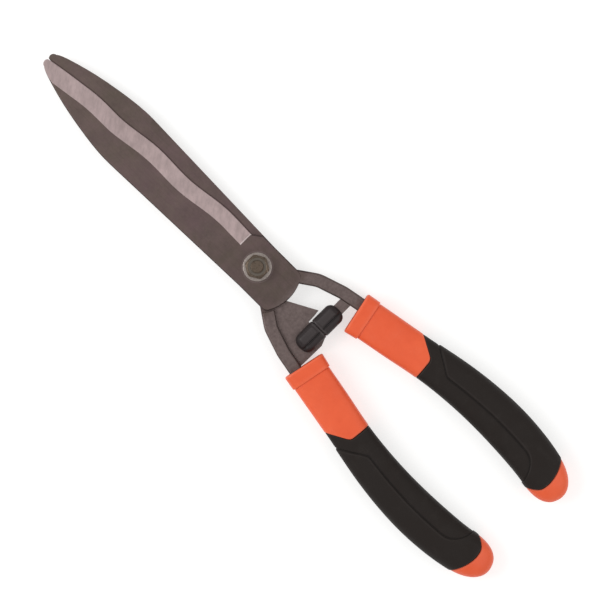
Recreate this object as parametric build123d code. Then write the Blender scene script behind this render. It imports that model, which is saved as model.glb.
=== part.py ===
from build123d import *
import math
import os

# Hand shears lying flat and closed. +X runs towards the blade tips, +Z is up along the pivot bolt,
# and the origin is the centre of the bolt head's underside. The front half lies on top: its blade has
# its spine on +Y and its handle on -Y. The rear half is the same blank turned over about the X axis.

# ---- pivot stack, from the floor up ----
HEX_AF = 17.0                 # across flats of the M10 bolt head and lock nut
HEAD_H = 6.4
WASHER_H = 2.0
BLADE_T = 4.0                 # plate thickness round the pivot
BLADE_GAP = 0.2               # gap between the two plates
SPRING_H = 1.6
NUT_H = 8.5
BOLT_R = 5.0
BOLT_PROUD = 1.4              # thread showing above the nut
PIVOT_CLEARANCE = 0.06        # running clearance of the bolt in the front blade
WASHER_R = 11.0
WASHER_BORE_R = 5.3
SPRING_INSET = 0.6            # the spring is this much smaller in radius than the washers
SPRING_T = 1.0
INSERT_R = 7.0                # nylon ring of the lock nut
INSERT_H = 2.2
INSERT_SINK = 0.2             # the ring lies this far below the nut's top
CROWN_WALL = 1.0              # wall of the nut round its nylon ring
CROWN_ROUND = 0.6
HEX_TURNED = 0.9              # how much is turned off the corners of a hexagon
THREAD_CHAMFER = 0.8
SHEAR_Z = HEAD_H + WASHER_H + BLADE_T + BLADE_GAP / 2
PLATE_LOW = SHEAR_Z + BLADE_GAP / 2
PLATE_TOP = PLATE_LOW + BLADE_T
NUT_SEAT = PLATE_TOP + SPRING_H + WASHER_H

# ---- blade ----
HEEL_X = 20.9                 # where the ground bevel starts
TIP_X = 225.6
TIP_T = 2.4                   # thickness at the tip
TAPER_X = 35.0                # the plate is full thickness up to here
TAPER_REACH = 60.0            # half width of the block that cuts the taper
EDGE_LAND = 0.5               # thickness left at the cutting edge
PLATE_HALF = 19.8             # half the width of the plate round the pivot
SPINE_X = 135.0
SPINE_HALF = 23.9
PLATE_END_R = 34.0            # the plate ends in an arc about the pivot
PLATE_CORNER_R = 5.0
RIM_R = 0.9                   # rounding of the outer rim
SHOULDER_X = 13.0             # the plate's side turns in towards the heel from here
NOSE_X = 224.6                # the cutting edge ends here and the round nose begins
NOSE_MID_Y = 5.0
SPINE_TO_NOSE = ((222.6, 6.4), (209.3, 11.85), (190, 16.95), (167, 21.2))
EDGE_HEEL_Y = -15.0           # the cutting edge starts at this y and rises with this slope
EDGE_SLOPE = 0.0552
EDGE_LIFT = 0.001             # extra rise of the cutting edge beyond its lift point, per mm squared
EDGE_LIFT_X = 160.0
WAVE_LENGTH = 70.0
WAVE_HEIGHT = 1.1
WAVE_CREST_X = 83.0
WAVE_END_X = 195.0            # the wave has died out here, after fading over this length
WAVE_FADE = 40.0
BEVEL_W = 11.3
BEVEL_GROWTH = 0.0095         # the bevel grows this much per mm towards the tip
EDGE_STEPS = 24               # spans of the splines that follow the cutting edge

# ---- tang ----
TANG_W = 10.4
TANG_LOW = SHEAR_Z - 3.6
TANG_TOP = SHEAR_Z + 3.9
TANG_RELIEF_R = PLATE_END_R + 1.5
TANG_EDGE = 1.6
TANG_ROUTE = ((-16, -9), (-40, -25.6), (-60, -32.2), (-78, -35.6), (-166, -44.8))
TANG_BENDS = (18, 30, 60)

# ---- rubber buffers ----
BUFFER_X = -66.3
BUFFER_W = 16.5
BUFFER_L = 20.8
BUFFER_H = 16.0
BUFFER_GAP = 0.15             # each buffer stops this far from the centre line
BUFFER_SIDE_R = 5.0
BUFFER_END_R = 4.0
BUFFER_PIN_R = 1.5
BUFFER_PIN_Y = -13.5
LUG_W = 9.0
LUG_T = 5.0
LUG_ROOT_Y = -33.5            # inside the tang
LUG_L = 24.0
WEB_T = 3.2
WEB_END_R = 57.0              # the web ends in an arc about the pivot
WEB_CORNER_Y = -9.5           # where that arc meets the web's straight front
WEB_ARC_MID_Y = -4.7
WEB_ARC_MID_X = -56.8
WEB_NOTCH_WALL = 3.0          # rubber left on both sides of the web's tongue
WEB_NOTCH_LOW = 2.0
WEB_NOTCH_HIGH = 10.0

# ---- handle ----
HANDLE_H = 2 * SHEAR_Z        # the handles rest on the floor beside the bolt head
BODY_H = HANDLE_H - 1.5
COLLAR_W = 33.6
COLLAR_L = 11.0
COLLAR_START = Vector(-77.6, -28.2, SHEAR_Z)
GRIP_WALL = 2.8
GRIP_NOSE_X = -145.0          # inner part of the border between the orange shell and the black grip
GRIP_NOSE_Y = 43.0
GRIP_SHOULDER_X = -125.0
TAIL_X = -271.0
GRIP_SHOULDER_Y = 54.0
TAIL_BULGE = 2.5              # the border at the tail is this much farther back in its middle
TAIL_MID_Y = 42.0
TANG_PIN_R = 2.0
TANG_PIN_AT = Vector(-154.0, -43.5, SHEAR_Z)
COLLAR_CORNER_R = 7.5
COLLAR_ROUND = 1.0
COLLAR_LAP = 0.6              # the collar reaches this far over the body behind it
LEAST_CORNER_R = 2.0

# ---- cutting tools, all larger than what they cut ----
BEYOND = 90.0
STANDING = (Align.CENTER, Align.CENTER, Align.MIN)


def taper_top(x):
    """Height of the blade's outer face above the floor at x."""
    along = max(0.0, (x - TAPER_X) / (TIP_X - TAPER_X))
    return PLATE_TOP - (BLADE_T - TIP_T) * along


def edge_y(x):
    """Cutting edge of the front blade: a straight rise with a soft wave that dies out at the tip."""
    wave = WAVE_HEIGHT * math.cos(2 * math.pi * (x - WAVE_CREST_X) / WAVE_LENGTH)
    fade = min(1.0, max(0.0, (WAVE_END_X - x) / WAVE_FADE))
    lift = EDGE_LIFT * max(0.0, x - EDGE_LIFT_X) ** 2
    return EDGE_HEEL_Y + EDGE_SLOPE * (x - HEEL_X) + wave * fade + lift


def bevel_width(x):
    """Width of the ground bevel, which grows a little towards the tip."""
    return BEVEL_W + BEVEL_GROWTH * (x - HEEL_X)


def blade_outline():
    """Plan of the blade and its pivot plate, without the tang."""
    stations = [HEEL_X + (NOSE_X - HEEL_X) * i / EDGE_STEPS for i in range(EDGE_STEPS + 1)]
    edge = Spline(*[(x, edge_y(x)) for x in stations])
    spine = Spline(*SPINE_TO_NOSE, (SPINE_X, SPINE_HALF),
                   tangents=[(-0.72, 0.7), (-1, -0.022)], tangent_scalars=[0.6, 1])
    nose = ThreePointArc(edge @ 1, (TIP_X, 3.0), spine @ 0)
    corner_x = -math.sqrt(PLATE_END_R ** 2 - PLATE_HALF ** 2)
    back = Line((SPINE_X, SPINE_HALF), (0, PLATE_HALF))
    side = Line((0, PLATE_HALF), (corner_x, PLATE_HALF))
    end = ThreePointArc((corner_x, PLATE_HALF), (-PLATE_END_R, 0), (corner_x, -PLATE_HALF))
    flank = Line((corner_x, -PLATE_HALF), (SHOULDER_X, -PLATE_HALF))
    shoulder = Line((SHOULDER_X, -PLATE_HALF), edge @ 0)
    face = make_face([edge, nose, spine, back, side, end, flank, shoulder])
    corners = face.vertices().sort_by(Axis.X)[:2]
    return fillet(corners, PLATE_CORNER_R)


def bevel_cutter():
    """Everything above the ground bevel: a ruled face between two wavy lines, pulled upwards."""
    over_edge, over_face, over_tip = 2.0, 1.0, 4.4
    low, high = [], []
    for i in range(EDGE_STEPS + 1):
        x = HEEL_X + (TIP_X + over_tip - HEEL_X) * i / EDGE_STEPS
        slope = (taper_top(x) - PLATE_LOW - EDGE_LAND) / bevel_width(x)
        low.append((x, edge_y(x) - over_edge, PLATE_LOW + EDGE_LAND - over_edge * slope))
        high.append((x, edge_y(x) + bevel_width(x) + over_face, taper_top(x) + over_face * slope))
    face = Face.make_surface_from_curves(Spline(*low), Spline(*high))
    return Solid.extrude(face, Vector(0, 0, 2 * BLADE_T))


def outer_rim(blank):
    """Upper rim edges of the blank along the spine and round the plate, up to the heel of the bevel.

    The bevel cuts away what is rounded beyond the heel. The cutting edge and the nose stay sharp.
    """
    rim = []
    for edge in blank.edges():
        middle = edge.center()
        upper = middle.Z > PLATE_LOW + 1 and abs(edge.tangent_at(0.5).Z) < 0.5
        cutting_side = middle.X > TAPER_X and middle.Y < NOSE_MID_Y
        taper_line = abs(middle.X - TAPER_X) < 1 and abs(edge.tangent_at(0.5).Y) > 0.9
        if upper and not cutting_side and not taper_line:
            rim.append(edge)
    return rim


def blade_blank():
    """The blade of the front half: flat inner face down, tapered outer face and ground bevel up."""
    blank = extrude(Plane.XY.offset(PLATE_LOW) * blade_outline(), BLADE_T)
    side = Polyline((TAPER_X, PLATE_TOP), (TIP_X + 5, taper_top(TIP_X + 5)),
                    (TIP_X + 5, PLATE_TOP + 5), (TAPER_X, PLATE_TOP + 5), close=True)
    taper = extrude(Plane.XZ * make_face(side), TAPER_REACH, both=True)
    blank = fillet(outer_rim(blank - taper), RIM_R)
    return blank - bevel_cutter()


def tang_bar():
    """The bar from the pivot plate into the handle. Near the pivot it keeps off the other plate."""
    route = FilletPolyline(*TANG_ROUTE, radius=TANG_BENDS)
    bar = extrude(Plane.XY.offset(TANG_LOW) * trace(route, TANG_W), TANG_TOP - TANG_LOW)
    rims = bar.edges().filter_by(lambda e: abs(e.tangent_at(0.5).Z) < 0.1)
    bar = fillet(rims, TANG_EDGE)
    relief = Cylinder(TANG_RELIEF_R, BEYOND, align=(Align.CENTER, Align.CENTER, Align.MAX))
    return bar - Pos(0, 0, PLATE_LOW) * relief


def turned_over(shape):
    """The same shape for the other half, turned half a turn about the X axis at the shear plane."""
    return Pos(0, 0, SHEAR_Z) * Rot(180, 0, 0) * Pos(0, 0, -SHEAR_Z) * shape


def buffer_lug():
    """Flat lug from the front tang into its buffer."""
    reach = Box(LUG_W, LUG_L, LUG_T, align=(Align.CENTER, Align.MIN, Align.CENTER))
    return Pos(BUFFER_X, LUG_ROOT_Y, SHEAR_Z) * reach


def rear_web():
    """Plate in the corner between the rear plate and its tang, notched for the rear buffer."""
    low = SHEAR_Z - BLADE_GAP / 2 - WEB_T
    half = BUFFER_W / 2
    tongue = half - WEB_NOTCH_WALL
    foot = (-math.sqrt(WEB_END_R ** 2 - WEB_CORNER_Y ** 2), WEB_CORNER_Y)
    start, front_corner = (-24, 16), (-33, 3)
    lines = [
        Line(start, front_corner),
        Line(front_corner, foot),
        ThreePointArc(foot, (WEB_ARC_MID_X, WEB_ARC_MID_Y), (-WEB_END_R, 0)),
        Polyline((-WEB_END_R, 0), (-WEB_END_R, WEB_NOTCH_LOW), (BUFFER_X + tongue, WEB_NOTCH_LOW),
                 (BUFFER_X + tongue, WEB_NOTCH_HIGH), (BUFFER_X - tongue, WEB_NOTCH_HIGH),
                 (BUFFER_X - tongue, WEB_NOTCH_LOW), (BUFFER_X - half, WEB_NOTCH_LOW),
                 (-77.0, 8), (-76.5, 36), (-60, 33), start),
    ]
    return extrude(Plane.XY.offset(low) * make_face(lines), WEB_T)


def buffer_pin():
    """Steel pin down through the front buffer and its lug."""
    return Pos(BUFFER_X, BUFFER_PIN_Y, SHEAR_Z) * Cylinder(BUFFER_PIN_R, BUFFER_H - 1)


def tang_pin():
    """Pin across the tang, buried in the front handle's core."""
    return Pos(TANG_PIN_AT) * Cylinder(TANG_PIN_R, HANDLE_H - 2 * GRIP_WALL - 1)


def bolt_hole(radius):
    """Round hole on the pivot axis through everything."""
    return Cylinder(radius, BEYOND)


def front_blade():
    blade = blade_blank() + tang_bar() + buffer_lug()
    return blade - bolt_hole(BOLT_R + PIVOT_CLEARANCE) - buffer_pin() - tang_pin()


def rear_blade():
    blade = turned_over(blade_blank() + tang_bar()) + rear_web()
    square_hole = Box(2 * BOLT_R, 2 * BOLT_R, BEYOND)
    return blade - square_hole - turned_over(buffer_pin()) - turned_over(tang_pin())


def buffer_block():
    """Rubber buffer of the front half: flat where it meets the other one, round at its far end."""
    block = Box(BUFFER_W, BUFFER_L, BUFFER_H, align=(Align.CENTER, Align.MAX, Align.CENTER))
    block = Pos(BUFFER_X, -BUFFER_GAP, SHEAR_Z) * block
    block = fillet(block.edges().filter_by(Axis.Y), BUFFER_SIDE_R)
    return fillet(block.edges().group_by(Axis.Y)[0], BUFFER_END_R)


def front_buffer():
    return buffer_block() - buffer_lug() - buffer_pin()


def rear_buffer(blade):
    return turned_over(buffer_block() - buffer_pin()) - blade


def hex_block(height):
    """Hexagon with both ends turned off round, as on a bolt head or a nut."""
    block = extrude(RegularPolygon(HEX_AF / 2, 6, major_radius=False), height)
    turned = Cylinder(HEX_AF / 2 + HEX_TURNED, height, align=STANDING)
    return block & chamfer(turned.edges().group_by(Axis.Z)[-1], HEX_TURNED)


def pivot_bolt():
    """Hexagon bolt, head down, with a square neck that locks it in the rear blade."""
    top = NUT_SEAT + NUT_H + BOLT_PROUD
    head = Pos(0, 0, HEAD_H) * Rot(180, 0, 0) * hex_block(HEAD_H)
    shank = Pos(0, 0, HEAD_H) * Cylinder(BOLT_R, top - HEAD_H, align=STANDING)
    shank = chamfer(shank.edges().group_by(Axis.Z)[-1], THREAD_CHAMFER)
    neck = Box(2 * BOLT_R, 2 * BOLT_R, BLADE_T, align=STANDING)
    return head + shank + Pos(0, 0, HEAD_H + WASHER_H) * neck


def ring(outer, bore, height):
    """Flat ring standing on z = 0."""
    return Cylinder(outer, height, align=STANDING) - Cylinder(bore, height, align=STANDING)


def head_washer():
    return Pos(0, 0, HEAD_H) * ring(WASHER_R, WASHER_BORE_R, WASHER_H)


def disc_spring():
    """Slightly coned spring ring that keeps the two plates pressed together."""
    outer = WASHER_R - SPRING_INSET
    cone = Polyline((WASHER_BORE_R, SPRING_H - SPRING_T), (outer, 0), (outer, SPRING_T),
                    (WASHER_BORE_R, SPRING_H), close=True)
    return Pos(0, 0, PLATE_TOP) * revolve(Plane.XZ * make_face(cone), Axis.Z)


def nut_washer():
    return Pos(0, 0, PLATE_TOP + SPRING_H) * ring(WASHER_R, WASHER_BORE_R, WASHER_H)


def pivot_nut():
    """Hexagon lock nut with a pocket for its nylon ring."""
    body = hex_block(NUT_H - INSERT_H)
    crown = Cylinder(INSERT_R + CROWN_WALL, NUT_H, align=STANDING)
    crown = fillet(crown.edges().group_by(Axis.Z)[-1], CROWN_ROUND)
    pocket = Pos(0, 0, NUT_H - INSERT_H) * Cylinder(INSERT_R, INSERT_H, align=STANDING)
    return Pos(0, 0, NUT_SEAT) * (body + crown - pocket - bolt_hole(BOLT_R))


def nut_insert():
    return Pos(0, 0, NUT_SEAT + NUT_H - INSERT_H) * ring(INSERT_R, BOLT_R, INSERT_H - INSERT_SINK)


def handle_path():
    """Centre line of the front handle behind its collar."""
    return Spline((-88.3, -30.5, SHEAR_Z), (-115, -35.4, SHEAR_Z), (-140, -40.2, SHEAR_Z),
                  (-165, -44.3, SHEAR_Z), (-190, -46.8, SHEAR_Z), (-215, -47.5, SHEAR_Z),
                  (-240, -46.2, SHEAR_Z), (-262, -43.0, SHEAR_Z), (-287.4, -38.2, SHEAR_Z))


# Share of the path, width, height and corner radius of the handle at each station.
HANDLE_SECTIONS = (
    (0.000, 32.0, BODY_H, 7.0),
    (0.135, 31.8, BODY_H, 7.6),
    (0.270, 31.4, BODY_H + 0.6, 8.6),
    (0.390, 33.2, HANDLE_H - 0.4, 10.0),
    (0.510, 35.2, HANDLE_H - 0.2, 11.0),
    (0.640, 36.7, HANDLE_H - 0.2, 11.6),
    (0.770, 36.6, HANDLE_H - 0.2, 11.6),
    (0.880, 34.9, HANDLE_H - 0.4, 11.4),
    (0.950, 29.6, HANDLE_H - 3.0, 10.2),
    (0.987, 20.0, HANDLE_H - 9.0, 7.2),
    (1.000, 12.0, HANDLE_H - 15.0, 4.5),
)


def handle_body(inset):
    """Handle behind the collar, drawn in by the inset all round."""
    path = handle_path()
    sections = []
    for share, width, height, corner in HANDLE_SECTIONS:
        plane = Plane(origin=path @ share, x_dir=Vector(0, 0, 1).cross(path % share), z_dir=path % share)
        corner = max(LEAST_CORNER_R, corner - inset)
        sections.append(plane * RectangleRounded(width - 2 * inset, height - 2 * inset, corner))
    return loft(sections)


def collar():
    """Proud band round the mouth of the handle."""
    along = handle_path() % 0
    plane = Plane(origin=COLLAR_START, x_dir=Vector(0, 0, 1).cross(along), z_dir=along)
    band = extrude(plane * RectangleRounded(COLLAR_W, HANDLE_H, COLLAR_CORNER_R), COLLAR_L + COLLAR_LAP)
    return fillet(band.faces().sort_by(Axis.X)[-1].edges(), COLLAR_ROUND)


def grip_zone():
    """Block that holds the rubber part of the front handle, with its slanted nose."""
    nose = Polyline((GRIP_NOSE_X, 0), (GRIP_NOSE_X, -GRIP_NOSE_Y), (GRIP_SHOULDER_X, -GRIP_SHOULDER_Y),
                    (GRIP_SHOULDER_X, -BEYOND), (TAIL_X, -BEYOND), (TAIL_X - TAIL_BULGE, -TAIL_MID_Y),
                    (TAIL_X, 0), close=True)
    return extrude(Plane.XY * make_face(nose), BEYOND, both=True)


def handle_shell():
    """Orange moulding of the front handle: collar, bare front part, core under the grip, and tail."""
    return handle_body(GRIP_WALL) + (handle_body(0.0) - grip_zone()) + collar()


def front_handle_core(shell, blade):
    return shell - blade - tang_pin()


def rear_handle_core(shell, blade):
    return turned_over(shell - tang_pin()) - blade


def front_grip():
    return (handle_body(0.0) & grip_zone()) - handle_body(GRIP_WALL)


def main():
    os.makedirs("parts", exist_ok=True)
    front, rear = front_blade(), rear_blade()
    shell, grip = handle_shell(), front_grip()
    pieces = {
        "front_blade": front,
        "rear_blade": rear,
        "pivot_bolt": pivot_bolt(),
        "head_washer": head_washer(),
        "disc_spring": disc_spring(),
        "nut_washer": nut_washer(),
        "pivot_nut": pivot_nut(),
        "nut_insert": nut_insert(),
        "front_buffer": front_buffer(),
        "rear_buffer": rear_buffer(rear),
        "front_buffer_pin": buffer_pin(),
        "rear_buffer_pin": turned_over(buffer_pin()),
        "front_handle_core": front_handle_core(shell, front),
        "rear_handle_core": rear_handle_core(shell, rear),
        "front_grip": grip,
        "rear_grip": turned_over(grip),
        "front_tang_pin": tang_pin(),
        "rear_tang_pin": turned_over(tang_pin()),
    }
    for name, piece in pieces.items():
        export_step(piece, f"parts/{name}.step")


main()
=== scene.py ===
# %% [markdown]
# # Hand shears: looks built round a fixed frame
#
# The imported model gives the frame: two steel halves that turn about one bolt. This lesson gives
# each piece the shape and finish that a maker would see. The forged blades, the nylon ring and
# the pins keep the frame's own shapes and get better materials. The moulded and turned pieces,
# which are the handles, grips, buffers, bolt, nut and washers, are made again as surfaces worked
# out with numpy.

# %% Load the frame
import math

import bmesh
import bpy
import numpy as np
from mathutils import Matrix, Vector


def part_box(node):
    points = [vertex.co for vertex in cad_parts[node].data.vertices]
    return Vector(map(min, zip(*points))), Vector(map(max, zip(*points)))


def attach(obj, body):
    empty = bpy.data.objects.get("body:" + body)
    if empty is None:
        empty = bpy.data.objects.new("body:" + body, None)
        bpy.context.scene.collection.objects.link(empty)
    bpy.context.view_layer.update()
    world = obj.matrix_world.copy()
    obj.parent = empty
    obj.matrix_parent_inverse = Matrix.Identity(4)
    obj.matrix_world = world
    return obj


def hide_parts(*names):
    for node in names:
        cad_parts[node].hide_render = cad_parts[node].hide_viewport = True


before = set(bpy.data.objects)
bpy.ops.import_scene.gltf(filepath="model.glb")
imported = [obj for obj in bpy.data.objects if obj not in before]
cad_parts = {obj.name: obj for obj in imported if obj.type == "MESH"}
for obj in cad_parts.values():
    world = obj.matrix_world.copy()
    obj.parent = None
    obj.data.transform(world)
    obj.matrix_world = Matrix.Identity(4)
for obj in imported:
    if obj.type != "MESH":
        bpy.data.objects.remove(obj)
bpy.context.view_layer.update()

# %% [markdown]
# ## Millimetres, and the plane where the blades meet
#
# Garden tools are drawn in millimetres and Blender works in metres, so every length below is
# written in millimetres and multiplied by `MM` once, when it goes into a mesh or a material. The
# shear plane is halfway between the two blades. The rear half is the front half turned over about
# the long axis in that plane, so each shape is worked out once and turned for the other half.

# %% Units and the shear plane
MM = 0.001


def box_mm(node_name):
    """Lowest and highest corner of a frame node, in millimetres."""
    return [np.array(corner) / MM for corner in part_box(node_name)]


pin_low, pin_high = box_mm("front_tang_pin")
SHEAR_Z = float(pin_low[2] + pin_high[2]) / 2
HANDLE_H = 2 * SHEAR_Z
print("shear plane at", round(SHEAR_Z, 2), "mm, handles", round(HANDLE_H, 2), "mm thick")


def turned_over(points):
    """Half a turn about the long axis in the shear plane: y changes sign and z is mirrored about it."""
    return points * np.array([1.0, -1.0, -1.0]) + np.array([0.0, 0.0, 2 * SHEAR_Z])


# %% [markdown]
# ## From rings of points to a closed piece
#
# Nearly every moulded or turned piece is a ring of points carried along a line. A handle is a
# rounded rectangle carried along a bent centre line, and a nut is a hexagon carried up its axis.
# Numpy holds all the rings as one array of shape (rings, points in a ring, 3), and the faces are
# the small squares between neighbouring rings. A shape is closed in one of two ways: its first
# and last rings shrink to a point each, or its last ring is joined back to its first, which makes
# a tube wall with an outside and an inside.

# %% Rings to mesh
def ring_faces(rings, around, joined):
    """Squares between ring i and ring i + 1. With joined, the last ring meets the first again."""
    first = np.arange(rings if joined else rings - 1)[:, None]
    spot = np.arange(around)[None, :]
    low, high = first * around, (first + 1) % rings * around
    beside = (spot + 1) % around
    return np.stack([low + spot, low + beside, high + beside, high + spot], axis=-1).reshape(-1, 4)


def close_and_point_outwards(mesh):
    """Merges the doubled points of the poles, then turns every face to point outwards."""
    work = bmesh.new()
    work.from_mesh(mesh)
    bmesh.ops.remove_doubles(work, verts=work.verts, dist=0.002 * MM)
    bmesh.ops.recalc_face_normals(work, faces=work.faces)
    work.to_mesh(mesh)
    work.free()


def make_piece(name, rings, material, joined=False, masks=None, crease=None):
    """Mesh object from rings in millimetres. Masks are float attributes with one value a point."""
    points = rings.reshape(-1, 3) * MM
    mesh = bpy.data.meshes.new(name)
    mesh.from_pydata(points, [], ring_faces(rings.shape[0], rings.shape[1], joined))
    for mask, values in (masks or {}).items():
        layer = mesh.attributes.new(mask, "FLOAT", "POINT")
        layer.data.foreach_set("value", np.ascontiguousarray(values, np.float32).ravel())
    close_and_point_outwards(mesh)
    mesh.shade_smooth()
    if crease:
        mesh.set_sharp_from_angle(angle=math.radians(crease))
    mesh.materials.append(material)
    piece = bpy.data.objects.new(name, mesh)
    bpy.context.scene.collection.objects.link(piece)
    print(name, len(mesh.polygons), "faces")
    return piece


def fit(piece, body, slot, *nodes):
    """The piece rides on its body and stands for these frame nodes. slot is not used."""
    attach(piece, body)
    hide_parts(*nodes)


def fit_both_halves(name, rings, material, slot, node_name, **shape):
    """Makes a piece for the front half, and the same piece turned over for the rear half."""
    for half, place in (("front", rings), ("rear", turned_over(rings))):
        piece = make_piece(f"{half}_{name}", place, material, **shape)
        fit(piece, f"{half}_half", slot, f"{half}_{node_name}")


# %% [markdown]
# ## Building materials from small parts
#
# A finish is a network of nodes, and a few helpers keep the networks short to read. `node` adds
# a node and fills its inputs, from plain values or from other nodes' outputs, `calc` does one
# sum, `fade` is a soft threshold, and `wash` lays one colour over another where a mask is.
# All patterns read Object coordinates, in metres, so a pattern with a scale of 1000 repeats
# about once a millimetre, on every piece alike.

# %% Node helpers
def node(tree, kind, inputs=None, **settings):
    """Adds one node. An input that is another node's output is linked, and any other is a value."""
    made = tree.nodes.new(kind)
    for key, value in settings.items():
        setattr(made, key, value)
    for key, value in (inputs or {}).items():
        if isinstance(value, bpy.types.NodeSocket):
            tree.links.new(value, made.inputs[key])
        else:
            made.inputs[key].default_value = value
    return made


def calc(tree, operation, first, second=0.0):
    """One sum of one or two values."""
    return node(tree, "ShaderNodeMath", {0: first, 1: second}, operation=operation).outputs[0]


def product(tree, first, *more):
    """The first value times each of the others."""
    for value in more:
        first = calc(tree, "MULTIPLY", first, value)
    return first


def fade(tree, value, low, high, out_low=0.0, out_high=1.0):
    """Smooth change from out_low to out_high as the value goes from low to high."""
    inputs = {"Value": value, "From Min": low, "From Max": high, "To Min": out_low, "To Max": out_high}
    return node(tree, "ShaderNodeMapRange", inputs, interpolation_type="SMOOTHSTEP").outputs["Result"]


def fade_mm(tree, length, low, high, *outputs):
    """The same for a length in metres, with low and high in millimetres."""
    return fade(tree, length, low * MM, high * MM, *outputs)


def tint(tree, factor, first, second):
    """Mix of two colours: the first where the factor is 0, the second where it is 1."""
    made = node(tree, "ShaderNodeMix", {0: factor}, data_type="RGBA")
    for index, colour in ((6, first), (7, second)):
        if isinstance(colour, bpy.types.NodeSocket):
            tree.links.new(colour, made.inputs[index])
        else:
            made.inputs[index].default_value = (*colour, 1.0)
    return made.outputs[2]


def wash(tree, under, over, mask, strength):
    """Lays the colour over on the colour under where the mask is, at a strength from 0 to 1."""
    return tint(tree, product(tree, mask, strength), under, over)


def shade(colour, factor):
    """A plain colour made lighter or deeper."""
    return tuple(factor * part for part in colour)


def object_place(tree):
    """Object coordinates, which stay with the piece when its body moves."""
    return node(tree, "ShaderNodeTexCoord").outputs["Object"]


def split(tree, vector):
    """The parts X, Y and Z of a vector."""
    return node(tree, "ShaderNodeSeparateXYZ", {0: vector}).outputs


def noise(tree, place, scale, detail, roughness):
    """Cloudy noise from 0 to 1."""
    inputs = {"Vector": place, "Scale": scale, "Detail": detail, "Roughness": roughness}
    return node(tree, "ShaderNodeTexNoise", inputs).outputs["Fac"]


def attribute(tree, name):
    """A mask that was worked out with the shape and kept on the piece's points."""
    return node(tree, "ShaderNodeAttribute", attribute_name=name).outputs["Fac"]


# %% [markdown]
# ## Effects that several finishes share
#
# Handled things are never one even colour. Three effects turn up in more than one finish here:
# soft cloudy variation, fine scratches that run one way, and a film of dust and finger marks.
# Each is a node group with its own named inputs, built once and placed in each material with
# different numbers. The groups give out plain masks, and the shader stays in the material.

# %% Shared node groups
def new_group(name, inputs):
    """Node group with float inputs and one float output called Mask. Returns tree, inputs, output."""
    group = bpy.data.node_groups.new(name, "ShaderNodeTree")
    for label, value in inputs.items():
        socket = group.interface.new_socket(label, in_out="INPUT", socket_type="NodeSocketFloat")
        socket.default_value = value
    group.interface.new_socket("Mask", in_out="OUTPUT", socket_type="NodeSocketFloat")
    source, result = group.nodes.new("NodeGroupInput"), group.nodes.new("NodeGroupOutput")
    return group, source.outputs, result.inputs["Mask"]


def cloud_group():
    """Large soft clouds with smaller ones inside them, pulled to light and dark by Contrast."""
    group, given, mask = new_group("soft_clouds", {"Scale": 40.0, "Contrast": 1.0})
    place = object_place(group)
    large = noise(group, place, given["Scale"], 4.0, 0.6)
    small = noise(group, place, product(group, given["Scale"], 6.3), 3.0, 0.6)
    both = calc(group, "ADD", product(group, large, 0.7), product(group, small, 0.3))
    spread = product(group, calc(group, "SUBTRACT", both, 0.5), given["Contrast"])
    group.links.new(calc(group, "ADD", spread, 0.5), mask)
    return group


def scratch_group():
    """Thin scratches: noise at (x + slant y, y, z), finer across the scratches than along them."""
    inputs = {"Across X": 1.0, "Across Y": 1.0, "Slant": 0.0, "Sharpness": 0.5}
    group, given, mask = new_group("fine_scratches", inputs)
    spot = split(group, object_place(group))
    leant = calc(group, "ADD", spot["X"], product(group, spot["Y"], given["Slant"]))
    across_z = 400.0
    drawn = node(group, "ShaderNodeCombineXYZ", {
        0: product(group, leant, given["Across X"]),
        1: product(group, spot["Y"], given["Across Y"]),
        2: product(group, spot["Z"], across_z)}).outputs[0]
    streak = noise(group, drawn, 1.0, 4.0, 0.7)
    edge = calc(group, "SUBTRACT", 0.75, product(group, given["Sharpness"], 0.3))
    group.links.new(fade(group, streak, 0.35, edge), mask)
    return group


def handling_group():
    """Dust and finger marks: broad clouds that let through only their highest parts."""
    group, given, mask = new_group("handling_marks", {"Amount": 0.3, "Scale": 60.0})
    place = object_place(group)
    broad = noise(group, place, given["Scale"], 5.0, 0.65)
    grit = noise(group, place, 1400.0, 2.0, 0.5)
    shown = product(group, fade(group, broad, 0.48, 0.75), fade(group, grit, 0.35, 0.7))
    group.links.new(product(group, shown, given["Amount"]), mask)
    return group


CLOUDS, SCRATCHES, HANDLING = cloud_group(), scratch_group(), handling_group()


def effect(tree, group, **inputs):
    """One of the shared groups, placed in a material with its own numbers."""
    made = node(tree, "ShaderNodeGroup", node_tree=group)
    for label, value in inputs.items():
        made.inputs[label.replace("_", " ")].default_value = value
    return made.outputs["Mask"]


# %% A new material
def new_material(name, **plain):
    """Material with one shader. Plain values that are the same all over are set on its sockets."""
    material = bpy.data.materials.new(name)
    material.use_nodes = True
    tree = material.node_tree
    shader = tree.nodes["Principled BSDF"]
    for label, value in plain.items():
        shader.inputs[label.replace("_", " ")].default_value = value
    return material, tree, shader.inputs


def bump(tree, height, depth_mm, strength):
    """Normal that makes a height from 0 to 1 look depth_mm deep."""
    inputs = {"Height": height, "Distance": depth_mm * MM, "Strength": strength}
    return node(tree, "ShaderNodeBump", inputs).outputs["Normal"]


def refinish(material, *node_names):
    """Frame nodes that keep their own shape get this material, and no other."""
    for name in node_names:
        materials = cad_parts[name].data.materials
        materials.clear()
        materials.append(material)
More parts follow.
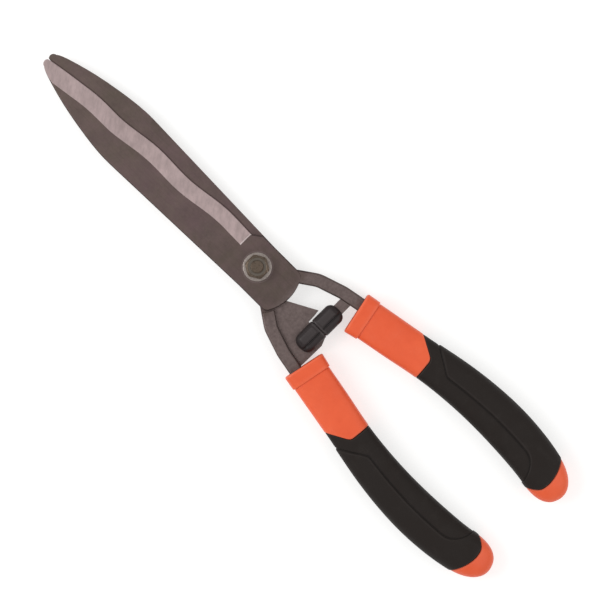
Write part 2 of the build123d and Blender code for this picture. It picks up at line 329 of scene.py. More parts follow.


# %% [markdown]
# ## Finish 1: forged blade steel
#
# The blades are forged carbon steel. Their faces keep a dark brown-black heat finish, and painted
# shade darkens their rounded rim; the wavy bevel is ground bright, and the tang is tumbled to a mid
# grey, with a milder painted shade on its rim. One material does all of this with masks. The bevel
# is found from the way its face leans, the heel by its place along the blade, and the tang by its
# distance behind the pivot.
# The bevel leans towards its own cutting edge on both halves, so the product of the normal's y
# and z has the same sign there on the top of one blade and on the underside of the other. The
# normal is the piece's own, from Texture Coordinate, because Geometry's is the world's and
# would lose the bevel when the blade turns.
# Just beyond each cutting edge, a dark line on the other blade is grease and painted edge shadow.

# %% Blade steel
HEEL_X, EDGE_Y, EDGE_SLOPE = 20.9, -15.0, 0.0552
WAVE_HEIGHT, WAVE_LENGTH, WAVE_CREST_X = 1.1, 70.0, 83.0
WAVE_DIES_FROM, WAVE_DIES_TO = 155.0, 195.0
TIP_LIFT_X, TIP_LIFT = 160.0, 0.001  # d past this place, the edge rises by TIP_LIFT times d squared
TANG_X, TANG_BLEND = -35.0, 8.0
BEVEL_LEAN = (0.08, 0.14)     # the flat of a blade leans less, and its bevel more
SQUARE_ON = (0.6, 0.9)        # share of a normal that points one way
DARK_LINE_BEYOND = 0.55          # the middle of the line of grease and painted shadow is this far past the edge
DARK_LINE_WIDE, DARK_LINE_CORE = 1.0, 0.35   # and it fades from its core to nothing at these distances
RUBBED_FROM, RUBBED_TO = (10.8, 11.2), (12.6, 11.8)    # radii of the ring that the nut washer rubs
FACE_BROWN, FACE_OLIVE, FACE_DEEP = (0.150, 0.102, 0.103), (0.130, 0.103, 0.084), (0.076, 0.055, 0.056)
GROUND, GROUND_DULL = (0.635, 0.500, 0.495), (0.330, 0.262, 0.257)
TANG_STEEL, TANG_DEEP = (0.205, 0.160, 0.152), (0.130, 0.100, 0.095)
# painted shade on the rounded rims of the faces and of the tang
FACE_RIM_SHADE, TANG_RIM_SHADE = (0.046, 0.033, 0.032), (0.100, 0.076, 0.071)
HEEL_GLINT = (0.84, 0.75, 0.74)
# grease, and the painted shadow that the other blade's cutting edge casts
GREASE_AND_EDGE_SHADOW = (0.048, 0.032, 0.031)
DUST = (0.22, 0.19, 0.17)


def cutting_edge_y(tree, x):
    """Place of the wavy cutting edge at x, in metres: a slope, a cosine wave that dies out towards the
    tip, and a parabola that lifts the tip."""
    slope = product(tree, calc(tree, "SUBTRACT", x, HEEL_X * MM), EDGE_SLOPE)
    past_crest = calc(tree, "SUBTRACT", x, WAVE_CREST_X * MM)
    turn = product(tree, past_crest, 2 * math.pi / (WAVE_LENGTH * MM))
    dying = node(tree, "ShaderNodeMapRange", {
        "Value": x, "From Min": WAVE_DIES_FROM * MM, "From Max": WAVE_DIES_TO * MM,
        "To Min": WAVE_HEIGHT * MM, "To Max": 0.0}).outputs["Result"]
    wave = product(tree, calc(tree, "COSINE", turn), dying)
    past = calc(tree, "MAXIMUM", calc(tree, "SUBTRACT", x, TIP_LIFT_X * MM), 0.0)
    lift = product(tree, past, past, TIP_LIFT / MM)
    return calc(tree, "ADD", calc(tree, "ADD", slope, EDGE_Y * MM), calc(tree, "ADD", wave, lift))


def steel_masks(tree):
    """Where the blade is ground, keen, tang, rim or polished, and its line of grease and painted shadow, from
    place and normal.
    """
    own = node(tree, "ShaderNodeTexCoord").outputs
    normal, spot = split(tree, own["Normal"]), split(tree, own["Object"])
    side = fade_mm(tree, spot["Z"], SHEAR_Z - 0.05, SHEAR_Z + 0.05, 1.0, -1.0)
    ahead = fade_mm(tree, spot["X"], HEEL_X - 0.4, HEEL_X - 0.2)
    near_heel = fade_mm(tree, spot["X"], HEEL_X + 0.5, HEEL_X + 0.2)
    heel = product(tree, fade(tree, normal["X"], 0.5, 0.8), ahead, near_heel)
    heel_line = fade_mm(tree, spot["X"], HEEL_X + 1.1, HEEL_X + 0.7)
    lean = product(tree, normal["Y"], normal["Z"], -1.0)
    bevel = product(tree, fade(tree, lean, *BEVEL_LEAN), ahead)
    cutting_side = fade(tree, product(tree, normal["Y"], side), *SQUARE_ON)
    inner_face = fade(tree, product(tree, normal["Z"], side), *SQUARE_ON)
    beyond = calc(tree, "SUBTRACT", cutting_edge_y(tree, spot["X"]), product(tree, spot["Y"], side))
    from_line = calc(tree, "ABSOLUTE", calc(tree, "SUBTRACT", beyond, DARK_LINE_BEYOND * MM))
    flat = node(tree, "ShaderNodeVectorMath", {0: own["Object"], 1: (1, 1, 0)}, operation="MULTIPLY")
    reach = node(tree, "ShaderNodeVectorMath", {0: flat.outputs[0]}, operation="LENGTH").outputs["Value"]
    return {
        "ground": calc(tree, "MAXIMUM", bevel, heel),
        "heel": calc(tree, "MAXIMUM", heel, heel_line),
        "grease_and_edge_shadow": product(tree, fade_mm(tree, from_line, DARK_LINE_WIDE, DARK_LINE_CORE), inner_face, ahead),
        "keen": product(tree, cutting_side, ahead),
        "tang": fade_mm(tree, spot["X"], TANG_X + TANG_BLEND, TANG_X),
        "rim": fade(tree, calc(tree, "ABSOLUTE", normal["Z"]), 0.997, 0.93),
        "polished": product(tree, fade_mm(tree, reach, *RUBBED_FROM), fade_mm(tree, reach, *RUBBED_TO)),
    }


def blade_steel():
    """Dark forged faces with painted shade on the rounded rim, bright ground bevel, grey tang."""
    material, tree, shader = new_material("forged_blade_steel", Metallic=1.0)
    mask = steel_masks(tree)
    clouds = effect(tree, CLOUDS, Scale=30.0, Contrast=3.2)
    patches = effect(tree, CLOUDS, Scale=75.0, Contrast=3.4)
    skin = effect(tree, CLOUDS, Scale=420.0, Contrast=2.6)
    across = effect(tree, SCRATCHES, Across_X=2300.0, Across_Y=60.0, Slant=0.55, Sharpness=0.2)
    passes = effect(tree, SCRATCHES, Across_X=230.0, Across_Y=28.0, Slant=0.7, Sharpness=0.0)
    along = effect(tree, SCRATCHES, Across_X=30.0, Across_Y=1300.0, Slant=0.0, Sharpness=0.7)
    marks = effect(tree, HANDLING, Amount=0.5, Scale=45.0)

    face = tint(tree, clouds, FACE_OLIVE, FACE_BROWN)
    face = wash(tree, face, FACE_DEEP, patches, 0.42)
    face = wash(tree, face, GROUND_DULL, along, 0.035)
    face = wash(tree, face, GROUND_DULL, mask["polished"], 0.25)
    # dark line of grease and painted shadow just beyond the other blade's cutting edge
    face = wash(tree, face, GREASE_AND_EDGE_SHADOW, mask["grease_and_edge_shadow"], 0.45)
    # painted shade on the rounded rim
    face = wash(tree, face, FACE_RIM_SHADE, mask["rim"], 0.8)
    tang = tint(tree, skin, TANG_DEEP, TANG_STEEL)
    # a milder painted shade on the tang's rim
    tang = wash(tree, tang, TANG_RIM_SHADE, mask["rim"], 0.6)
    bright = wash(tree, GROUND, GROUND_DULL, patches, 0.35)
    bright = wash(tree, bright, GROUND_DULL, passes, 0.55)
    bright = wash(tree, bright, GROUND, across, 0.25)
    colour = tint(tree, mask["tang"], face, tang)
    colour = wash(tree, colour, GROUND, mask["keen"], 0.8)
    colour = tint(tree, mask["ground"], colour, bright)
    colour = wash(tree, colour, HEEL_GLINT, product(tree, mask["heel"], mask["ground"]), 0.8)
    tree.links.new(wash(tree, colour, DUST, marks, 0.22), shader["Base Color"])

    shine = product(tree, mask["ground"], 0.06)
    dull = calc(tree, "ADD", fade(tree, clouds, 0.2, 0.8, 0.40, 0.54), product(tree, marks, 0.2))
    tree.links.new(calc(tree, "SUBTRACT", dull, shine), shader["Roughness"])

    grooves = product(tree, across, mask["ground"], 0.4)
    pebbles = product(tree, skin, calc(tree, "SUBTRACT", 1.0, mask["ground"]))
    tree.links.new(bump(tree, calc(tree, "ADD", grooves, pebbles), 0.035, 0.8), shader["Normal"])
    return material


refinish(blade_steel(), "front_blade", "rear_blade")
print("blade steel on both forgings")

# %% [markdown]
# ## Finish 2: plated steel and nylon
#
# The bolt and the lock nut are zinc plated and then dyed dark, the washers and pins are plain
# bright zinc. Zinc plating is never a mirror: it has a faint crystal mottle, and it wears through
# where spanners and washers rub. The nut's ring is smoked nylon, which grease has turned brown.

# %% Fastener finishes
NYLON_DEEP, NYLON_LIGHT = (0.066, 0.052, 0.039), (0.120, 0.098, 0.075)


def plated_steel(name, light, deep, roughness):
    """Zinc plating in two tones, with a crystal mottle and light rubbing marks."""
    material, tree, shader = new_material(name, Metallic=1.0)
    crystals = node(tree, "ShaderNodeTexVoronoi", {"Vector": object_place(tree), "Scale": 900.0})
    patches = effect(tree, CLOUDS, Scale=150.0, Contrast=2.0)
    rubs = effect(tree, SCRATCHES, Across_X=700.0, Across_Y=700.0, Sharpness=0.8)
    colour = wash(tree, tint(tree, patches, deep, light), shade(light, 1.8), rubs, 0.3)
    tree.links.new(colour, shader["Base Color"])
    tree.links.new(fade(tree, patches, 0.2, 0.8, roughness + 0.12, roughness), shader["Roughness"])
    tree.links.new(bump(tree, crystals.outputs["Distance"], 0.01, 0.5), shader["Normal"])
    return material


def nylon():
    """Smoky plastic with cloudy colour and faint tooling marks."""
    material, tree, shader = new_material("smoked_nylon", Roughness=0.42)
    clouds = effect(tree, CLOUDS, Scale=300.0, Contrast=1.5)
    tree.links.new(tint(tree, clouds, NYLON_DEEP, NYLON_LIGHT), shader["Base Color"])
    tree.links.new(bump(tree, clouds, 0.02, 0.5), shader["Normal"])
    return material


DARK_ZINC = plated_steel("dark_zinc", light=(0.138, 0.106, 0.081), deep=(0.068, 0.052, 0.040),
                         roughness=0.36)
BRIGHT_ZINC = plated_steel("bright_zinc", light=(0.36, 0.315, 0.29), deep=(0.17, 0.144, 0.132),
                           roughness=0.30)
refinish(nylon(), "nut_insert")
refinish(BRIGHT_ZINC, "front_buffer_pin", "rear_buffer_pin", "front_tang_pin", "rear_tang_pin")
print("plating and nylon placed")

# %% [markdown]
# ## Finish 3: orange moulded plastic
#
# The handle shell is injection-moulded polypropylene. Its tool was spark-eroded, which leaves a
# fine even pebble that scatters the highlights. The colour is a red-leaning orange that drifts in
# soft clouds between a deeper and a lighter shade, and it turns darker along the seam beside the
# grip. A thin line runs round the sides at half height, where the two halves of the tool met. The
# `seam` mask comes from the shape: it is 1 at the seam and falls off within two millimetres.

# %% Orange plastic
ORANGE_DEEP, ORANGE_LIGHT = (0.70, 0.080, 0.021), (0.83, 0.120, 0.036)
ORANGE_RUBBED, ORANGE_DUSTY = (0.87, 0.18, 0.085), (0.76, 0.23, 0.14)
SEAM_DARK_ORANGE = (0.17, 0.028, 0.016)


def orange_plastic():
    """Satin orange with spark-eroded grain, slight colour drift, rubbed rims and a darker seam."""
    material, tree, shader = new_material("orange_moulding", Specular_IOR_Level=0.42)
    drift = effect(tree, CLOUDS, Scale=30.0, Contrast=1.6)
    marks = effect(tree, HANDLING, Amount=0.6, Scale=70.0)
    place = object_place(tree)
    grain = noise(tree, place, 1900.0, 2.0, 0.5)
    colour = tint(tree, drift, ORANGE_DEEP, ORANGE_LIGHT)
    colour = wash(tree, colour, ORANGE_RUBBED, attribute(tree, "rim"), 0.30)
    colour = wash(tree, colour, ORANGE_DUSTY, marks, 0.22)
    colour = wash(tree, colour, SEAM_DARK_ORANGE, attribute(tree, "seam"), 0.55)
    tree.links.new(colour, shader["Base Color"])
    rough = calc(tree, "ADD", fade(tree, drift, 0.2, 0.8, 0.40, 0.47), product(tree, marks, 0.25))
    tree.links.new(rough, shader["Roughness"])
    above_middle = calc(tree, "SUBTRACT", split(tree, place)["Z"], SHEAR_Z * MM)
    parting = fade_mm(tree, calc(tree, "ABSOLUTE", above_middle), 0.22, 0.08)
    skin = calc(tree, "ADD", product(tree, grain, 0.5), parting)
    tree.links.new(bump(tree, skin, 0.06, 0.6), shader["Normal"])
    return material


ORANGE = orange_plastic()

# %% [markdown]
# ## Finish 4: black soft rubber
#
# The grips are a soft rubber moulded over the shell, and the buffers are a harder black rubber.
# Both are nearly black, with a dull surface that shows lint, finger marks and a greyish bloom
# on rubbed edges, where the lighter grey is also a painted highlight, and painted shade darkens
# their grooves. They share one function and differ in grain size, roughness and wear.

# %% Black rubber
RUBBER_DUST = (0.070, 0.060, 0.054)


def black_rubber(name, base, bloom_and_highlight, grain_scale, grain_mm, roughness):
    """Near-black rubber with fine grain, greyer on rubbed edges with a painted highlight, painted shade in
    its grooves, dusty in patches.
    """
    material, tree, shader = new_material(name, Specular_IOR_Level=0.22)
    clouds = effect(tree, CLOUDS, Scale=45.0, Contrast=1.8)
    marks = effect(tree, HANDLING, Amount=0.9, Scale=80.0)
    wear_and_highlight, groove = attribute(tree, "wear_and_highlight"), attribute(tree, "groove")
    place = object_place(tree)
    grain = noise(tree, place, grain_scale, 2.0, 0.6)
    pits = node(tree, "ShaderNodeTexVoronoi", {"Vector": place, "Scale": grain_scale * 0.6})
    colour = wash(tree, base, shade(base, 1.6), clouds, 0.5)
    # greyish wear on rubbed edges and lands, which is also a painted highlight
    colour = wash(tree, colour, bloom_and_highlight, wear_and_highlight, 0.35)
    # painted shade in the groove
    colour = wash(tree, colour, shade(base, 0.35), groove, 0.75)
    colour = wash(tree, colour, RUBBER_DUST, marks, 0.18)
    tree.links.new(colour, shader["Base Color"])
    rough = calc(tree, "SUBTRACT", fade(tree, clouds, 0.2, 0.8, *roughness), product(tree, wear_and_highlight, 0.12))
    tree.links.new(rough, shader["Roughness"])
    skin = calc(tree, "ADD", product(tree, grain, 0.6), product(tree, pits.outputs["Distance"], 0.4))
    tree.links.new(bump(tree, skin, grain_mm, 0.7), shader["Normal"])
    return material


GRIP_RUBBER = black_rubber("soft_grip_rubber", base=(0.0118, 0.0082, 0.0066), bloom_and_highlight=(0.036, 0.030, 0.027),
                           grain_scale=1700.0, grain_mm=0.05, roughness=(0.58, 0.72))
BUFFER_RUBBER = black_rubber("buffer_rubber", base=(0.023, 0.0180, 0.0182), bloom_and_highlight=(0.095, 0.082, 0.082),
                             grain_scale=1100.0, grain_mm=0.04, roughness=(0.40, 0.54))
print("rubber and plastic finishes made")

# %% [markdown]
# ## The handle's centre line and sections
#
# A handle could be sculpted, or lofted from drawn sections. Here it is a formula, so that the
# orange shell and the black grip can share it and fit each other exactly. The centre line and
# the section sizes are given at a few stations, and a natural cubic spline passes smoothly
# through them. Each section is a superellipse, `|v/a|^n + |w/b|^n = 1`, which is nearly a
# rounded rectangle for n = 5 at the collar and nearly an oval for n = 2.7 in the palm.

# %% Stations of the front handle
#    x      y      width  height over HANDLE_H  power n
STATIONS = np.array([
    [-77.6, -28.3, 32.0, -1.5, 5.0],
    [-88.3, -30.5, 32.0, -1.5, 4.8],
    [-115.0, -35.4, 31.8, -1.5, 4.4],
    [-140.0, -40.2, 31.5, -0.9, 3.8],
    [-165.0, -44.3, 33.2, -0.4, 3.2],
    [-190.0, -46.8, 35.1, -0.2, 2.9],
    [-215.0, -47.5, 36.6, -0.2, 2.75],
    [-240.0, -46.2, 36.6, -0.2, 2.7],
    [-262.0, -43.0, 35.4, -0.3, 2.7],
    [-286.9, -35.6, 34.0, -0.4, 2.6],
])
X, Y, WIDTH, HEIGHT, POWER = range(5)
RUN = np.concatenate([[0.0], np.cumsum(np.hypot(*np.diff(STATIONS[:, :2], axis=0).T))])
END = RUN[-1]
TAIL_ROUND = 29.5             # the tail's dome starts this far before the end
DOME_ALONG, DOME_ACROSS = 2.6, 2.2    # powers of the dome's curve, where 2 and 2 are a circle
POLE = 1e-4                   # half size of a ring at a pole, so that nothing is divided by 0


def smooth_through(column, at):
    """Natural cubic spline through a column of STATIONS: the cubics share slope and bend at each station."""
    values, gap = STATIONS[:, column], np.diff(RUN)
    slope = np.diff(values) / gap
    inner = np.arange(1, len(RUN) - 1)
    system, right = np.eye(len(RUN)), np.zeros(len(RUN))
    system[inner, inner - 1], system[inner, inner + 1] = gap[:-1], gap[1:]
    system[inner, inner] = 2 * (gap[:-1] + gap[1:])
    right[1:-1] = 6 * np.diff(slope)
    bend = np.linalg.solve(system, right)
    i = np.clip(np.searchsorted(RUN, at, side="right") - 1, 0, len(gap) - 1)
    t = at - RUN[i]
    start = slope[i] - gap[i] * (2 * bend[i] + bend[i + 1]) / 6
    return values[i] + t * (start + t * (bend[i] / 2 + t * (bend[i + 1] - bend[i]) / (6 * gap[i])))


def tail_dome(at):
    """1 along the handle, falling to 0 at its end like the side of a flattened circle."""
    u = np.clip((at - (END - TAIL_ROUND)) / TAIL_ROUND, 0.0, 1.0)
    return (1.0 - u ** DOME_ALONG) ** (1 / DOME_ACROSS)


def superellipse(angle, a, b, power):
    """Points (v, w) with |v/a|^n + |w/b|^n = 1, one for each angle round the middle."""
    cosine, sine = np.abs(np.cos(angle)), np.abs(np.sin(angle))
    radius = ((cosine / a) ** power + (sine / b) ** power) ** (-1 / power)
    return radius * np.cos(angle), radius * np.sin(angle)


def handle_surface(at, angle, inset, size=None):
    """Points of the front handle. at is the distance along it, angle goes round from the outer side
    over the top, and inset draws the section in. size replaces width, height and power."""
    if size is None:
        size = smooth_through(WIDTH, at), HANDLE_H + smooth_through(HEIGHT, at), smooth_through(POWER, at)
    width, height, power = size
    dome = tail_dome(at)
    a = np.maximum(width / 2 * dome - inset, POLE)
    b = np.maximum(height / 2 * dome - inset, POLE)
    v, w = superellipse(angle, a, b, power)
    step = 0.05               # the direction is taken over this distance each way
    dx = smooth_through(X, at + step) - smooth_through(X, at - step)
    dy = smooth_through(Y, at + step) - smooth_through(Y, at - step)
    length = np.hypot(dx, dy)
    x, y = smooth_through(X, at) - v * dy / length, smooth_through(Y, at) + v * dx / length
    return np.stack([x, y, SHEAR_Z + w], axis=-1), v


print("handle centre line", round(END, 1), "mm long")

# %% [markdown]
# ## Where orange meets black
#
# Seen from above, the grip's nose is a chevron. Its border runs straight across on the finger
# side and slants forward to a point on the palm side. The tail border is two parabolas that meet
# at its deepest place, on the finger side. Both borders are written as distances along the
# handle for a given sideways place v. The nose's soft corner comes from
# the curve `(q + sqrt(q^2 + r^2)) / 2`, which is 0 on one side and q on the other with a bend of
# size r between.

# %% Border curves
NOSE_CORNER = 67.0            # distances along the handle from its mouth
TAIL_DEEPEST = 198.0
FINGER_SLANT, PALM_SLANT = 0.09, 1.19  # slopes of the nose's border on its two sides
PALM_FROM, CORNER_BEND = 2.6, 1.6      # v where the steep side starts, and the size of its bend
DEEPEST_V = -8.0                       # v where the tail's two parabolas meet
PALM_CURVE, FINGER_CURVE = 0.018, 0.075  # how steeply they leave that place


def round_angles(count):
    """Angles spread evenly round one turn."""
    return np.arange(count) * 2 * math.pi / count


AROUND = 192
ANGLES = round_angles(AROUND)


def soft_corner(q, r):
    """0 for q well below zero, q for q well above, with a bend of size r between."""
    return (q + np.sqrt(q ** 2 + r ** 2)) / 2


def side_place(at):
    """Sideways place v of each angle on the section at this distance."""
    return handle_surface(np.full(AROUND, at), ANGLES, 0.0)[1]


NOSE_V, TAIL_V = side_place(NOSE_CORNER), side_place(TAIL_DEEPEST - 6)
NOSE = (NOSE_CORNER + FINGER_SLANT * np.minimum(NOSE_V, 0)
        - PALM_SLANT * soft_corner(NOSE_V - PALM_FROM, CORNER_BEND))
TAIL = (TAIL_DEEPEST - PALM_CURVE * np.maximum(TAIL_V - DEEPEST_V, 0) ** 2
        - FINGER_CURVE * np.minimum(TAIL_V - DEEPEST_V, 0) ** 2)
print("grip from", round(float(NOSE.min()), 1), "to", round(float(TAIL.max()), 1), "mm along")

# %% [markdown]
# ## The orange shell
#
# The shell is one moulding: a rounded mouth round the tang, a proud collar, the bare front part,
# a drawn-in core under the grip, and the tail. It is laid out as a list of stretches. Each
# stretch says where it starts and ends along the handle, for every angle at once, how far its
# surface is drawn in, and how many rings it has. The mouth's rings shrink to a pole behind the
# tang, and the tail's shrink to a pole at its tip.

# %% Handle shell
BODY_INSET, CORE_INSET = 0.35, 2.4    # how far in the bare shell lies, and the core under the grip
COLLAR_END = 11.2
COLLAR_SIZE = (33.3, HANDLE_H - 0.1, 5.0)
SEAM_GAP = 0.35               # open gap between orange and black, at the surface
LIP_RADIUS, LIP_RINGS = 1.15, 9
MOUTH_FLOOR = [[1.6, 16.0], [1.6, 9.0], [1.6, 3.6], [1.4, 2 * LIP_RADIUS + 0.1]]
BAND = [[2.2, 0.0], [5.0, 0.0], [8.0, 0.0],
        [COLLAR_END - 0.5, 0.0], [COLLAR_END - 0.15, 0.12], [COLLAR_END, 0.4]]
FLARE = 0.035                 # the collar widens towards the mouth, by this much a millimetre
FAR_FROM_SEAM = 99.0


def mouth_and_collar():
    """Rings of the mouth and collar: a floor behind the lip, the round lip, and the proud band. A
    row is a distance along the handle and how far the ring is drawn in."""
    turn = np.linspace(0, math.pi, LIP_RINGS)[:, None]
    lip = np.hstack([LIP_RADIUS - LIP_RADIUS * np.sin(turn), LIP_RADIUS + LIP_RADIUS * np.cos(turn)])
    at, inset = np.vstack([MOUTH_FLOOR, lip, BAND]).T
    at, inset = at[:, None] + 0 * ANGLES, inset[:, None] + 0 * ANGLES
    flare = FLARE * np.clip(COLLAR_END - at, 0, None)
    width, height, power = COLLAR_SIZE
    size = (width + 2 * flare, height + 0 * flare, power)
    return handle_surface(at, ANGLES, inset, size)[0], np.full(at.shape, FAR_FROM_SEAM)


def shell_stretch(start, end, inset_start, inset_end, rings, bunch=False):
    """Rings from start to end. bunch packs them towards the end, where the dome curves most."""
    share = np.linspace(0, 1, rings)[:, None]
    if bunch:
        share = np.sin(share * math.pi / 2)
    at = start + (end - start) * share
    inset = inset_start + (inset_end - inset_start) * share + 0 * ANGLES
    points = handle_surface(at + 0 * ANGLES, ANGLES, inset)[0]
    seam = np.minimum(np.abs(at - NOSE), np.abs(at - TAIL))
    return points, seam + 0 * ANGLES


def handle_shell():
    """All stretches of the shell, one after the other, with the masks seam and rim for each point."""
    front, back = NOSE - SEAM_GAP, TAIL + SEAM_GAP
    step = COLLAR_END + 0.25
    stretches = [             # start, end, drawn in there and there, rings
        mouth_and_collar(),
        shell_stretch(step, step + 0.7, BODY_INSET + 0.25, BODY_INSET, 3),
        shell_stretch(step + 1.0, front - 0.4, BODY_INSET, BODY_INSET, 90),
        shell_stretch(front - 0.2, front, BODY_INSET + 0.08, BODY_INSET + 0.35, 3),
        shell_stretch(front + 0.05, front + 0.3, BODY_INSET + 0.8, CORE_INSET, 3),
        shell_stretch(front + 2.0, back - 2.0, CORE_INSET, CORE_INSET, 40),
        shell_stretch(back - 0.3, back - 0.05, CORE_INSET, BODY_INSET + 0.8, 3),
        shell_stretch(back, back + 0.2, BODY_INSET + 0.35, BODY_INSET + 0.08, 3),
        shell_stretch(back + 0.5, END, BODY_INSET, 0.0, 46, bunch=True),
    ]
    rings, seam = (np.concatenate(parts) for parts in zip(*stretches))
    rim = np.clip(1 - np.abs(seam - 1.2) / 0.8, 0, 1)
    lip_from, band_to = len(MOUTH_FLOOR), len(MOUTH_FLOOR) + LIP_RINGS + len(BAND)
    rim[lip_from:lip_from + LIP_RINGS] = 1.0
    rim[band_to - 3:band_to] = 0.8
    return rings, {"seam": np.clip(1 - seam / 1.6, 0, 1), "rim": rim}


shell_rings, shell_masks = handle_shell()
fit_both_halves("handle_shell", shell_rings, ORANGE, "orange_plastic", "handle_core", masks=shell_masks)

# %% [markdown]
# ## The black grip
#
# The grip is a sleeve about two millimetres thick, so its rings go out along the outside and
# come back along the inside, and the last ring meets the first. Its palm side is a raised pad:
# the pad's border leaves the palm edge behind the nose, slants to the middle, runs along the
# middle of the handle and turns down to the finger edge before the tail. The height of the
# surface is a smooth step across that border, with a fine channel at its foot.

# %% Grip surface
GRIP_LOW = 0.55               # the finger side lies this far inside the handle's outline
PAD_RISE = 0.55
CHANNEL_DEPTH, CHANNEL_V, CHANNEL_WIDTH = 0.55, -0.75, 0.55    # v counted from the pad's border
LIP = 0.9                     # the grip's ends are rounded over this length
PAD_START = 84.3              # distances along the handle where the border turns
PAD_TURN = 166.0
PAD_V = -1.5                  # sideways place of the border where it runs along the middle
PAD_SLANT, PAD_DRIFT = 0.93, 0.009     # its slopes before and after PAD_START
PAD_DIVE, PAD_DIVE_POWER = 0.022, 2.2  # it turns down by PAD_DIVE times d to this power
OUTER_RINGS, INNER_RINGS, BUNCH = 252, 40, 0.135


def pad_border(at):
    """Sideways place of the pad's border at a distance along the handle."""
    slant = PAD_SLANT * soft_corner(PAD_START - at, 1.6)
    drift = PAD_DRIFT * np.clip(at - PAD_START, 0, PAD_TURN - PAD_START)
    turn = PAD_DIVE * soft_corner(at - PAD_TURN, 2.0) ** PAD_DIVE_POWER
    return slant + PAD_V + drift - turn


def smooth_step(q):
    """0 below 0, 1 above 1, and 3q^2 - 2q^3 between."""
    q = np.clip(q, 0, 1)
    return q * q * (3 - 2 * q)


def hump(q, middle, width):
    """Bell curve e^(-((q - middle) / width)^2): 1 at the middle and about a third one width away."""
    return np.exp(-((q - middle) / width) ** 2)


def grip_rings():
    """Outside rings from nose to tail, then inside rings back again. The rings bunch up at both ends,
    where the lip is rounded: share - bunch sin(2 pi share) has a small slope there."""
    even = np.linspace(0, 1, OUTER_RINGS)[:, None]
    at = NOSE + (TAIL - NOSE) * (even - BUNCH * np.sin(2 * math.pi * even))
    from_edge = np.minimum(at - NOSE, TAIL - at)
    drop = LIP - np.sqrt(np.clip(LIP ** 2 - np.clip(LIP - from_edge, 0, LIP) ** 2, 0, None))
    across = handle_surface(at, ANGLES, GRIP_LOW)[1] - pad_border(at)
    rise = PAD_RISE * smooth_step(across + 0.4)
    channel = hump(across, CHANNEL_V, CHANNEL_WIDTH)
    outside = handle_surface(at, ANGLES, GRIP_LOW - rise + CHANNEL_DEPTH * channel + drop)[0]
    # rubbed lips and the pad's raised edge: wear, and a painted highlight
    wear_and_highlight = 0.6 * hump(across, 0.9, 0.6) + hump(from_edge, 0.6, 0.5)
    back = np.linspace(1, 0, INNER_RINGS)[:, None]
    inner_at = NOSE + 0.02 + (TAIL - NOSE - 0.04) * back
    inside = handle_surface(inner_at + 0 * ANGLES, ANGLES, CORE_INSET - 0.3)[0]
    hidden = np.zeros(inside.shape[:2])
    masks = {"wear_and_highlight": np.concatenate([np.clip(wear_and_highlight, 0, 1), hidden]),
             # the channel, where the material paints shade
             "groove": np.concatenate([channel, hidden])}
    return np.concatenate([outside, inside]), masks


grip, grip_masks = grip_rings()
fit_both_halves("soft_grip", grip, GRIP_RUBBER, "grip_rubber", "grip", joined=True, masks=grip_masks)

# %% [markdown]
# ## Rubber buffers
#
# Two blocks of hard rubber meet when the handles close and take the blow. Each is a rounded
# block with a flat striking face and a domed far end, where the steel lug goes in. A groove runs
# along its top and underside and lets the rubber bulge when it is struck, and beside it is a
# raised oblong land. The rings go from the striking face to the far end. Each ring is a
# superellipse whose size depends on how far it is from either end.

# %% Buffers
FACE_ROUND, FAR_DOME = 1.2, 6.5
STRIKE_GAP = 0.02             # from each striking face to the middle plane
BUFFER_POWER, FAR_POWER = 3.6, 2.3
BUFFER_AROUND = 168
GROOVE_DEPTH, GROOVE_X, GROOVE_WIDTH = 1.0, -2.6, 0.75    # x counted from the buffer's middle
LAND_RISE, LAND_FROM, LAND_TO, LAND_EDGE = 0.40, -1.0, 5.6, 0.7


def buffer_rings():
    """Rings along the front buffer: flat face, rounded edge, body with groove and land, domed end."""
    low, high = box_mm("front_buffer")
    middle, half, length = (low + high) / 2, (high - low) / 2, -STRIKE_GAP - low[1]
    bend, dome = np.linspace(0, math.pi / 2, 8), np.linspace(0, math.pi / 2, 26)
    pole = np.linspace(0, 1, 6)[:-1]
    body = np.linspace(FACE_ROUND, length - FAR_DOME, 64)[1:]
    along = np.concatenate([0 * pole, FACE_ROUND * (1 - np.cos(bend)), body,
                            length - FAR_DOME + FAR_DOME * np.sin(dome)[1:]])[:, None]
    inset = np.concatenate([half[2] - pole * (half[2] - FACE_ROUND), FACE_ROUND * (1 - np.sin(bend)),
                            np.zeros(len(body) + len(dome) - 1)])[:, None]
    far = np.clip((along - (length - FAR_DOME)) / FAR_DOME, 0, 1)
    squeeze = (1 - far ** FAR_POWER) ** (1 / FAR_POWER)
    a = np.maximum((half[0] - inset) * squeeze, POLE)
    b = np.maximum((half[2] - inset) * squeeze, POLE)
    x, z = superellipse(round_angles(BUFFER_AROUND), a, b, BUFFER_POWER)
    flat = smooth_step((np.abs(z) / half[2] - 0.55) / 0.25)
    ends = smooth_step((along - 2.2) / 1.2) * smooth_step((length - 3.4 - along) / 1.6)
    # the groove is cut into the shape, and the material paints shade in it
    groove = hump(x, GROOVE_X, GROOVE_WIDTH) * flat * smooth_step((along - 1.0) / 1.2)
    land = smooth_step((x - LAND_FROM) / LAND_EDGE) * smooth_step((LAND_TO - x) / LAND_EDGE) * ends * flat
    lowered = LAND_RISE * (1 - land) + GROOVE_DEPTH * groove
    z = np.sign(z) * np.maximum(np.abs(z) - lowered, 0.0)
    points = np.stack([middle[0] + x, -STRIKE_GAP - along + 0 * x, middle[2] + z], axis=-1)
    # lighter on the struck edge and the raised land: wear, and a painted highlight
    return points, {"wear_and_highlight": np.clip(hump(along, 1.0, 0.8) + 0.7 * land, 0, 1), "groove": groove}


buffer, buffer_masks = buffer_rings()
fit_both_halves("rubber_buffer", buffer, BUFFER_RUBBER, "buffer_rubber", "buffer", masks=buffer_masks)

